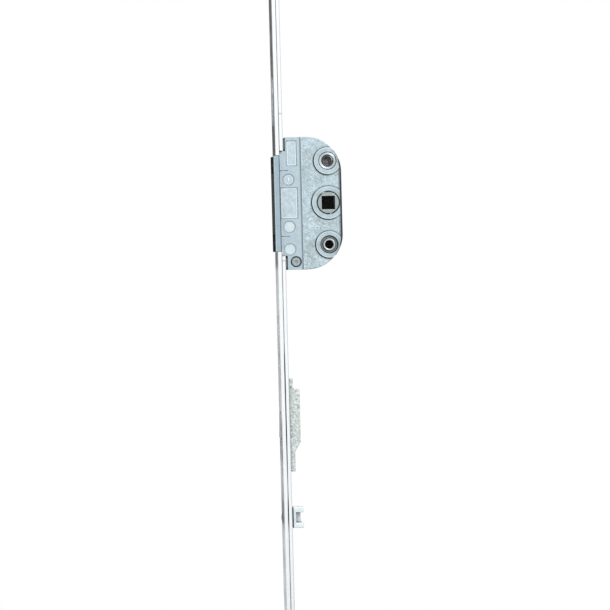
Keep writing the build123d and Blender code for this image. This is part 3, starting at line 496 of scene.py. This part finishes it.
def sliderFields(sheet, axes, place, colour, gloss, height):
    # painted shade makes its front face, and the recesses at its ends, nearly black and darkens its rear
    # edge; a painted highlight lies on its foremost part
    x, y = axes[:2]
    colour, gloss, height = barFields(sheet, axes, place, colour, gloss, height)
    recess = y.between(*sliderSet["farWall"]) * (1 - x.between(*sliderSet["proud"]))
    front = frontFace(sheet, sliderSet["front"]).most(recess)
    colour = sheet.layer(colour, sliderSet["litPaint"], 1 - x.between(*sliderSet["lit"]))
    colour = sheet.layer(colour, sliderSet["rearShadePaint"], x.between(*sliderSet["rear"]))
    colour = sheet.layer(colour, sliderSet["frontPaintedLight"], front)
    return colour, gloss + front * sliderSet["frontGloss"], height


notchSet = {"deep": (-5.2, -4.4), "paint": ((0.12, 0.15, 0.15), 0.2)}


def blockFields(sheet, axes, place, colour, gloss, height):
    # painted shade darkens the notch between the arms
    notch = axes[1].between(*notchSet["deep"])
    return sheet.layer(colour, notchSet["paint"], notch), gloss, height


headSet = {"front": (0.0, 0.5), "paint": ((0.10, 0.11, 0.10), 0.85), "gloss": 0.25}


def headFields(sheet, axes, place, colour, gloss, height):
    # the domed head's front-facing side gets painted shade and more roughness, as the rods' front does
    front = frontFace(sheet, headSet["front"])
    return sheet.layer(colour, headSet["paint"], front), gloss + front * headSet["gloss"], height


print("finishes next")
finishes = {
    "coverZinc": metalFinish("coverZinc", coverLook, coverFields),
    "caseZinc": metalFinish("caseZinc", zincLook, bodyFields),
    "housingZinc": metalFinish("housingZinc", housingLook),
    "blockZinc": metalFinish("blockZinc", blockLook, blockFields),
    "sliderZinc": metalFinish("sliderZinc", sliderLook, sliderFields),
    "followerZinc": metalFinish("followerZinc", followerLook),
    "barSteel": metalFinish("barSteel", barLook, barFields),
    "rivetSteel": metalFinish("rivetSteel", rivetLook),
    "headSteel": metalFinish("headSteel", rivetLook, headFields),
    "bushSteel": metalFinish("bushSteel", bushLook, bushFields),
    "leverSteel": metalFinish("leverSteel", leverLook),
    "springSteel": metalFinish("springSteel", springLook),
    "caseRivetZinc": metalFinish("caseRivetZinc", caseRivetLook),
    "markZinc": metalFinish("markZinc", markLook),
}
nodeFinish = {
    "case_cover": "coverZinc", "case_body": "caseZinc", "lock_housing": "housingZinc",
    "guide_block": "blockZinc", "rack_slider": "sliderZinc", "follower": "followerZinc",
    "upper_drive_rod": "barSteel", "lower_drive_rod": "barSteel", "upper_rail": "barSteel",
    "lower_rail": "barSteel", "upper_screw_bush": "bushSteel", "lower_screw_bush": "bushSteel",
    "lock_lever": "leverSteel", "lock_spring": "springSteel", "case_rivet": "caseRivetZinc",
    "guide_block_rivet": "headSteel",
}
for nodeName, piece in nodes.items():
    finish = finishes[nodeFinish.get(nodeName, "rivetSteel")]
    if not piece.material_slots:
        piece.data.materials.append(finish)
    for slot in piece.material_slots:
        slot.material = finish


filmLook = {
    "mottleNoise": (1500.0, 4.0, 0.7), "mottleSpan": (0.4, 0.7), "mottleDepth": 0.0001,
    "rough": 0.75, "mottleGloss": 0.2,
    # each pair is the even and the mottled colour of a film's painted shade
    "dark": ((0.010, 0.010, 0.009), (0.05, 0.046, 0.038)),  # clean and dusty colours
    "dim": ((0.035, 0.033, 0.028), (0.16, 0.15, 0.12)),
    "grey": ((0.10, 0.10, 0.103), (0.36, 0.35, 0.345)),
}


def filmFinish(name, evenShade, mottledShade):
    material, sheet = blankFinish(name)
    place = sheet.add("ShaderNodeTexCoord", {}, {}, out=3)
    # the film's painted shade is mottled by noise
    mottle = sheet.noise(place, *filmLook["mottleNoise"])
    colour = sheet.tint(evenShade, mottledShade, mottle.between(*filmLook["mottleSpan"]))
    bump = sheet.add("ShaderNodeBump", {}, {
        "Strength": 1.0, "Distance": 1.0, "Height": mottle * filmLook["mottleDepth"]})
    shader = sheet.add("ShaderNodeBsdfPrincipled", {}, {
        "Base Color": colour, "Roughness": filmLook["rough"] + mottle * filmLook["mottleGloss"], "Normal": bump})
    sheet.add("ShaderNodeOutputMaterial", {}, {0: shader})
    return material


class Tree(Sheet):  # geometry nodes for what repeats
    def __init__(self, name, inputs):
        group = bpy.data.node_groups.new(name, "GeometryNodeTree")
        super().__init__(group)
        group.interface.new_socket("Geometry", in_out="INPUT", socket_type="NodeSocketGeometry")
        self.keys = {}
        for label, kind in inputs.items():
            self.keys[label] = group.interface.new_socket(label, in_out="INPUT", socket_type=kind).identifier
        group.interface.new_socket("Geometry", in_out="OUTPUT", socket_type="NodeSocketGeometry")
        self.entry = group.nodes.new("NodeGroupInput")
        self.group = group

    def given(self, label):
        return Wire(self, self.entry.outputs[label])

    def close(self, shape):
        whole = self.add("GeometryNodeRealizeInstances", {}, {0: shape})
        dressed = self.add("GeometryNodeSetMaterial", {}, {
            "Geometry": whole, "Material": self.given("Finish")})
        self.add("NodeGroupOutput", {}, {0: dressed})
        return self

    def make(self, name, values, body, slot, points=((0, 0, 0),)):
        seed = bpy.data.meshes.new(name + "Seed")
        seed.from_pydata([Vector(p) for p in points], [], [])
        carrier = hang(name + "Carrier", seed)
        modifier = carrier.modifiers.new(name, "NODES")
        modifier.node_group = self.group
        for label, value in values.items():
            modifier[self.keys[label]] = value
        shown = bpy.context.evaluated_depsgraph_get()
        mesh = bpy.data.meshes.new_from_object(carrier.evaluated_get(shown))
        bpy.data.objects.remove(carrier)
        mesh.name = name
        piece = hang(name, mesh)
        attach(piece, body)
        print("made", name, len(mesh.polygons), "faces")


def tickTree():
    # short bars stand on a circle, long side outwards, in a plane that faces the viewer
    tree = Tree("tickTree", {
        "Ticks": "NodeSocketInt", "Circle": "NodeSocketFloat", "Bar": "NodeSocketVector",
        "Centre": "NodeSocketVector", "Finish": "NodeSocketMaterial"})
    ring = tree.add("GeometryNodeMeshCircle", {}, {
        "Vertices": tree.given("Ticks"), "Radius": tree.given("Circle")})
    bar = tree.add("GeometryNodeMeshCube", {}, {"Size": tree.given("Bar")})
    outward = tree.add("GeometryNodeInputPosition")
    facing = tree.add("FunctionNodeAlignRotationToVector", {"axis": "X"}, {"Vector": outward})
    bars = tree.add("GeometryNodeInstanceOnPoints", {}, {
        "Points": ring, "Instance": bar, "Rotation": facing})
    turned = tree.add("GeometryNodeTransform", {}, {
        "Geometry": bars, "Rotation": (math.pi / 2, 0, 0), "Translation": tree.given("Centre")})
    return tree.close(turned)


def threadTree(steps, sides):
    # one helical ridge along Y
    tree = Tree("threadTree", {
        "Turns": "NodeSocketFloat", "Crest": "NodeSocketFloat", "Ridge": "NodeSocketFloat",
        "Length": "NodeSocketFloat", "Centre": "NodeSocketVector", "Finish": "NodeSocketMaterial"})
    helix = tree.add("GeometryNodeCurveSpiral", {}, {
        "Resolution": steps, "Rotations": tree.given("Turns"), "Start Radius": tree.given("Crest"),
        "End Radius": tree.given("Crest"), "Height": tree.given("Length")})
    profile = tree.add("GeometryNodeCurvePrimitiveCircle", {}, {
        "Resolution": sides, "Radius": tree.given("Ridge")})
    ridge = tree.add("GeometryNodeCurveToMesh", {}, {
        "Curve": helix, "Profile Curve": profile, "Fill Caps": True})
    turned = tree.add("GeometryNodeTransform", {}, {
        "Geometry": ridge, "Rotation": (math.pi / 2, 0, 0), "Translation": tree.given("Centre")})
    return tree.close(turned)


def ringTree(steps, sides):
    # a thin ring, lying in the XZ plane, on every given point
    tree = Tree("ringTree", {
        "Radius": "NodeSocketFloat", "Thickness": "NodeSocketFloat", "Finish": "NodeSocketMaterial"})
    circle = tree.add("GeometryNodeCurvePrimitiveCircle", {}, {
        "Resolution": steps, "Radius": tree.given("Radius")})
    profile = tree.add("GeometryNodeCurvePrimitiveCircle", {}, {
        "Resolution": sides, "Radius": tree.given("Thickness")})
    ring = tree.add("GeometryNodeCurveToMesh", {}, {"Curve": circle, "Profile Curve": profile})
    turned = tree.add("GeometryNodeTransform", {}, {"Geometry": ring, "Rotation": (math.pi / 2, 0, 0)})
    points = tree.add("GeometryNodeMeshToPoints", {}, {"Mesh": tree.given("Geometry")})
    rings = tree.add("GeometryNodeInstanceOnPoints", {}, {"Points": points, "Instance": turned})
    return tree.close(rings)


dial = {
    "centre": (dialAt[0] * mm, -5.3 * mm, dialAt[1] * mm), "ticks": 10, "circle": 2.1 * mm,
    "bar": (0.8 * mm, 0.5 * mm, 0.16 * mm), "arrow": 1.05 * mm, "rise": 0.14 * mm,
    "outline": ((0, 1), (0.75, 0.1), (0.25, 0.1), (0.25, -0.9), (-0.25, -0.9), (-0.25, 0.1),
                (-0.75, 0.1)),
}
tickTree().make("dialTicks", {
    "Ticks": dial["ticks"], "Circle": dial["circle"], "Bar": dial["bar"], "Centre": dial["centre"],
    "Finish": finishes["markZinc"]}, "case", "zinc_casting")


def meshPiece(name, outline, low, high, finish, body):
    # a flat shape in X and Z, as thick as from low to high in Y
    shape = bmesh.new()
    front = [shape.verts.new((x, low, z)) for x, z in outline]
    back = [shape.verts.new((x, high, z)) for x, z in outline]
    shape.faces.new(front)
    shape.faces.new(back[::-1])
    for n in range(len(outline)):
        m = (n + 1) % len(outline)
        shape.faces.new((front[n], back[n], back[m], front[m]))
    bmesh.ops.recalc_face_normals(shape, faces=shape.faces)
    mesh = bpy.data.meshes.new(name)
    shape.to_mesh(mesh)
    shape.free()
    mesh.materials.append(finish)
    piece = hang(name, mesh)
    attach(piece, body)
    print("made", name)


# a small arrow in the middle of the dial
midX, midY, midZ = dial["centre"]
arrow = [(midX + x * dial["arrow"], midZ + z * dial["arrow"]) for x, z in dial["outline"]]
meshPiece("dialArrow", arrow, midY - dial["rise"] / 2, midY + dial["rise"] / 2, finishes["markZinc"],
          "case")

threads = {
    "turns": 15.0, "crest": 2.5 * mm, "ridge": 0.36 * mm, "length": 12.0 * mm, "steps": 36, "sides": 4,
    "pieces": {"upperThread": postHeight * mm, "lowerThread": -postHeight * mm},
}
thread = threadTree(threads["steps"], threads["sides"])
for label, along in threads["pieces"].items():
    thread.make(label, {
        "Turns": threads["turns"], "Crest": threads["crest"], "Ridge": threads["ridge"],
        "Length": threads["length"], "Centre": (0, threads["length"] / 2, along),
        "Finish": finishes["bushSteel"]}, "case", "steel_fittings")

# marks of the mould's ejector pins on the rear side of the case
pinMarks = {
    "radius": 1.5 * mm, "thickness": 0.12 * mm, "face": 5.5 * mm, "steps": 32, "sides": 6,
    "places": ((-20.0, 25.0), (-20.0, 0.0), (-20.0, -25.0)),
}
pinPoints = [(x * mm, pinMarks["face"], z * mm) for x, z in pinMarks["places"]]
ringTree(pinMarks["steps"], pinMarks["sides"]).make("ejectorMarks", {
    "Radius": pinMarks["radius"], "Thickness": pinMarks["thickness"],
    "Finish": finishes["caseZinc"]}, "case", "zinc_casting", pinPoints)


def circlePoints(radius, sides):
    return [(radius * math.cos(2 * math.pi * n / sides), radius * math.sin(2 * math.pi * n / sides))
            for n in range(sides)]


# a thin film in each hole is painted shade standing for its dark inside, greyer and nearer the face in the
# upper bush
film = {
    "half": 3.55 * mm, "radius": 2.4 * mm, "low": 3.0 * mm, "thickness": 0.25 * mm, "sides": 32,
    "bores": {"upperBoreShadeFilm": (postHeight * mm, -3.9 * mm, "grey"),
              "lowerBoreShadeFilm": (-postHeight * mm, 3.0 * mm, "dim")},
}
films = {
    "dark": filmFinish("darkShadeFilm", *filmLook["dark"]),
    "dim": filmFinish("dimShadeFilm", *filmLook["dim"]),
    "grey": filmFinish("greyShadeFilm", *filmLook["grey"]),
}
half = film["half"]
meshPiece("spindleShadeFilm", [(-half, -half), (half, -half), (half, half), (-half, half)],
          film["low"], film["low"] + film["thickness"], films["dark"], "follower")
for label, (along, depth, tone) in film["bores"].items():
    rim = [(x, along + z) for x, z in circlePoints(film["radius"], film["sides"])]
    meshPiece(label, rim, depth, depth + film["thickness"], films[tone], "case")

floorSet = {"radius": 0.34, "sides": 96, "height": cadLow[2] - 0.0002, "colour": (0.86, 0.86, 0.86)}


def mattFinish(name, colour):
    material, sheet = blankFinish(name)
    paint = sheet.add("ShaderNodeBsdfDiffuse", {}, {"Color": colour})
    sheet.add("ShaderNodeOutputMaterial", {}, {0: paint})
    return material


def layFloor(look):
    rim = [(x, y, look["height"]) for x, y in circlePoints(look["radius"], look["sides"])]
    mesh = bpy.data.meshes.new("paleFloor")
    mesh.from_pydata(rim, [], [tuple(range(look["sides"]))])
    mesh.materials.append(mattFinish("palePaint", look["colour"]))
    floor = hang("paleFloor", mesh)


layFloor(floorSet)
cardSet = {  # black cards behind the object, unseen by the camera, that give metal its dark outlines
    "low": -0.24, "high": 0.3, "colour": (0.01, 0.01, 0.01),
    "cards": {"leftCard": ((-0.175, 0.45), (-0.015, 0.5)), "rightCard": ((0.03, 0.5), (0.20, 0.42))},
}


def standCard(name, ends, look, cloth):
    (firstX, firstY), (lastX, lastY) = ends
    low, high = look["low"], look["high"]
    mesh = bpy.data.meshes.new(name)
    corners = [(firstX, firstY, low), (lastX, lastY, low), (lastX, lastY, high), (firstX, firstY, high)]
    mesh.from_pydata(corners, [], [(0, 1, 2, 3)])
    mesh.materials.append(cloth)
    card = hang(name, mesh)
    card.visible_camera = False
    card.visible_diffuse = False
    card.visible_shadow = False


blackCloth = mattFinish("blackCloth", cardSet["colour"])
for cardName, cardEnds in cardSet["cards"].items():
    standCard(cardName, cardEnds, cardSet, blackCloth)
lampSet = {
    "aim": (0, 0, -0.03),
    "lamps": {
        "keyLamp": {"place": (0.75, -1.1, 0.85), "size": 0.22, "power": 15.0},
        "fillLamp": {"place": (-0.9, -0.9, 0.1), "size": 0.9, "power": 2.0},
        "backLamp": {"place": (0.3, 1.2, 0.6), "size": 0.8, "power": 4.0},
    },
}


def hangLamp(name, look, aim):
    data = bpy.data.lights.new(name, "AREA")
    data.shape, data.size, data.energy = "SQUARE", look["size"], look["power"]
    place = Vector(look["place"])
    turned = (Vector(aim) - place).to_track_quat("-Z", "Y").to_matrix().to_4x4()
    hang(name, data).matrix_world = Matrix.Translation(place) @ turned


for lampName, lampLook in lampSet["lamps"].items():
    hangLamp(lampName, lampLook, lampSet["aim"])

worldSet = {"light": (0.92, 0.95, 1.0), "strength": 0.45, "white": (1, 1, 1)}


def lightWorld(look):
    world = bpy.data.worlds.new("studioRoom")
    bpy.context.scene.world = world
    world.use_nodes = True
    sheet = Sheet(world.node_tree)
    seen = sheet.add("ShaderNodeLightPath", {}, {}, out=0)
    mirrored = sheet.add("ShaderNodeLightPath", {}, {}, out=3)
    through = sheet.add("ShaderNodeLightPath", {}, {}, out=6)
    white = sheet.add("ShaderNodeBackground", {}, {"Color": look["white"], "Strength": 1.0})
    soft = sheet.add("ShaderNodeBackground", {}, {"Color": look["light"], "Strength": look["strength"]})
    clamped = {"operation": "ADD", "use_clamp": True}
    share = sheet.add("ShaderNodeMath", clamped, {0: seen + mirrored, 1: through})
    mixed = sheet.add("ShaderNodeMixShader", {}, {0: share, 1: soft, 2: white})
    sheet.add("ShaderNodeOutputWorld", {}, {0: mixed})


lightWorld(worldSet)
bpy.context.scene.view_settings.view_transform = "Standard"
print("stage ready")
